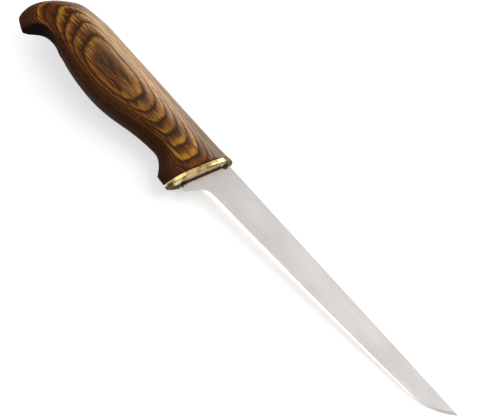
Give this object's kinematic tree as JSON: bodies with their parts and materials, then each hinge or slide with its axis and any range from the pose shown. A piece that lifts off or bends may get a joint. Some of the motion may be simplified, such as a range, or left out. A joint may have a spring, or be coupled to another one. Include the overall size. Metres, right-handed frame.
{
  "type": "fillet knife",
  "caption": "Fillet knife with a slim, ground blade that sweeps up to its tip, a slanted brass bolster and a hook-butted handle of laminated wood veneers around a hidden tang",
  "frame": {"origin": "middle of the knife's outline, on the blade's mid-plane", "axes": "+X towards the tip, +Y towards the spine, +Z out of the upper side: the knife lies on its side"},
  "size_m": [0.2609, 0.0307, 0.0212],
  "materials": {
    "blade_steel": "satin, lengthwise polish",
    "bolster_brass": "polished",
    "veneer_wood": "satin, resin-bonded veneers in brown and gold",
    "bedding_resin": "matte"
  },
  "bodies": {
    "root": {"blade": "blade_steel", "bolster": "bolster_brass", "handle": "veneer_wood", "tang_adhesive": "bedding_resin"}
  },
  "joints": []
}
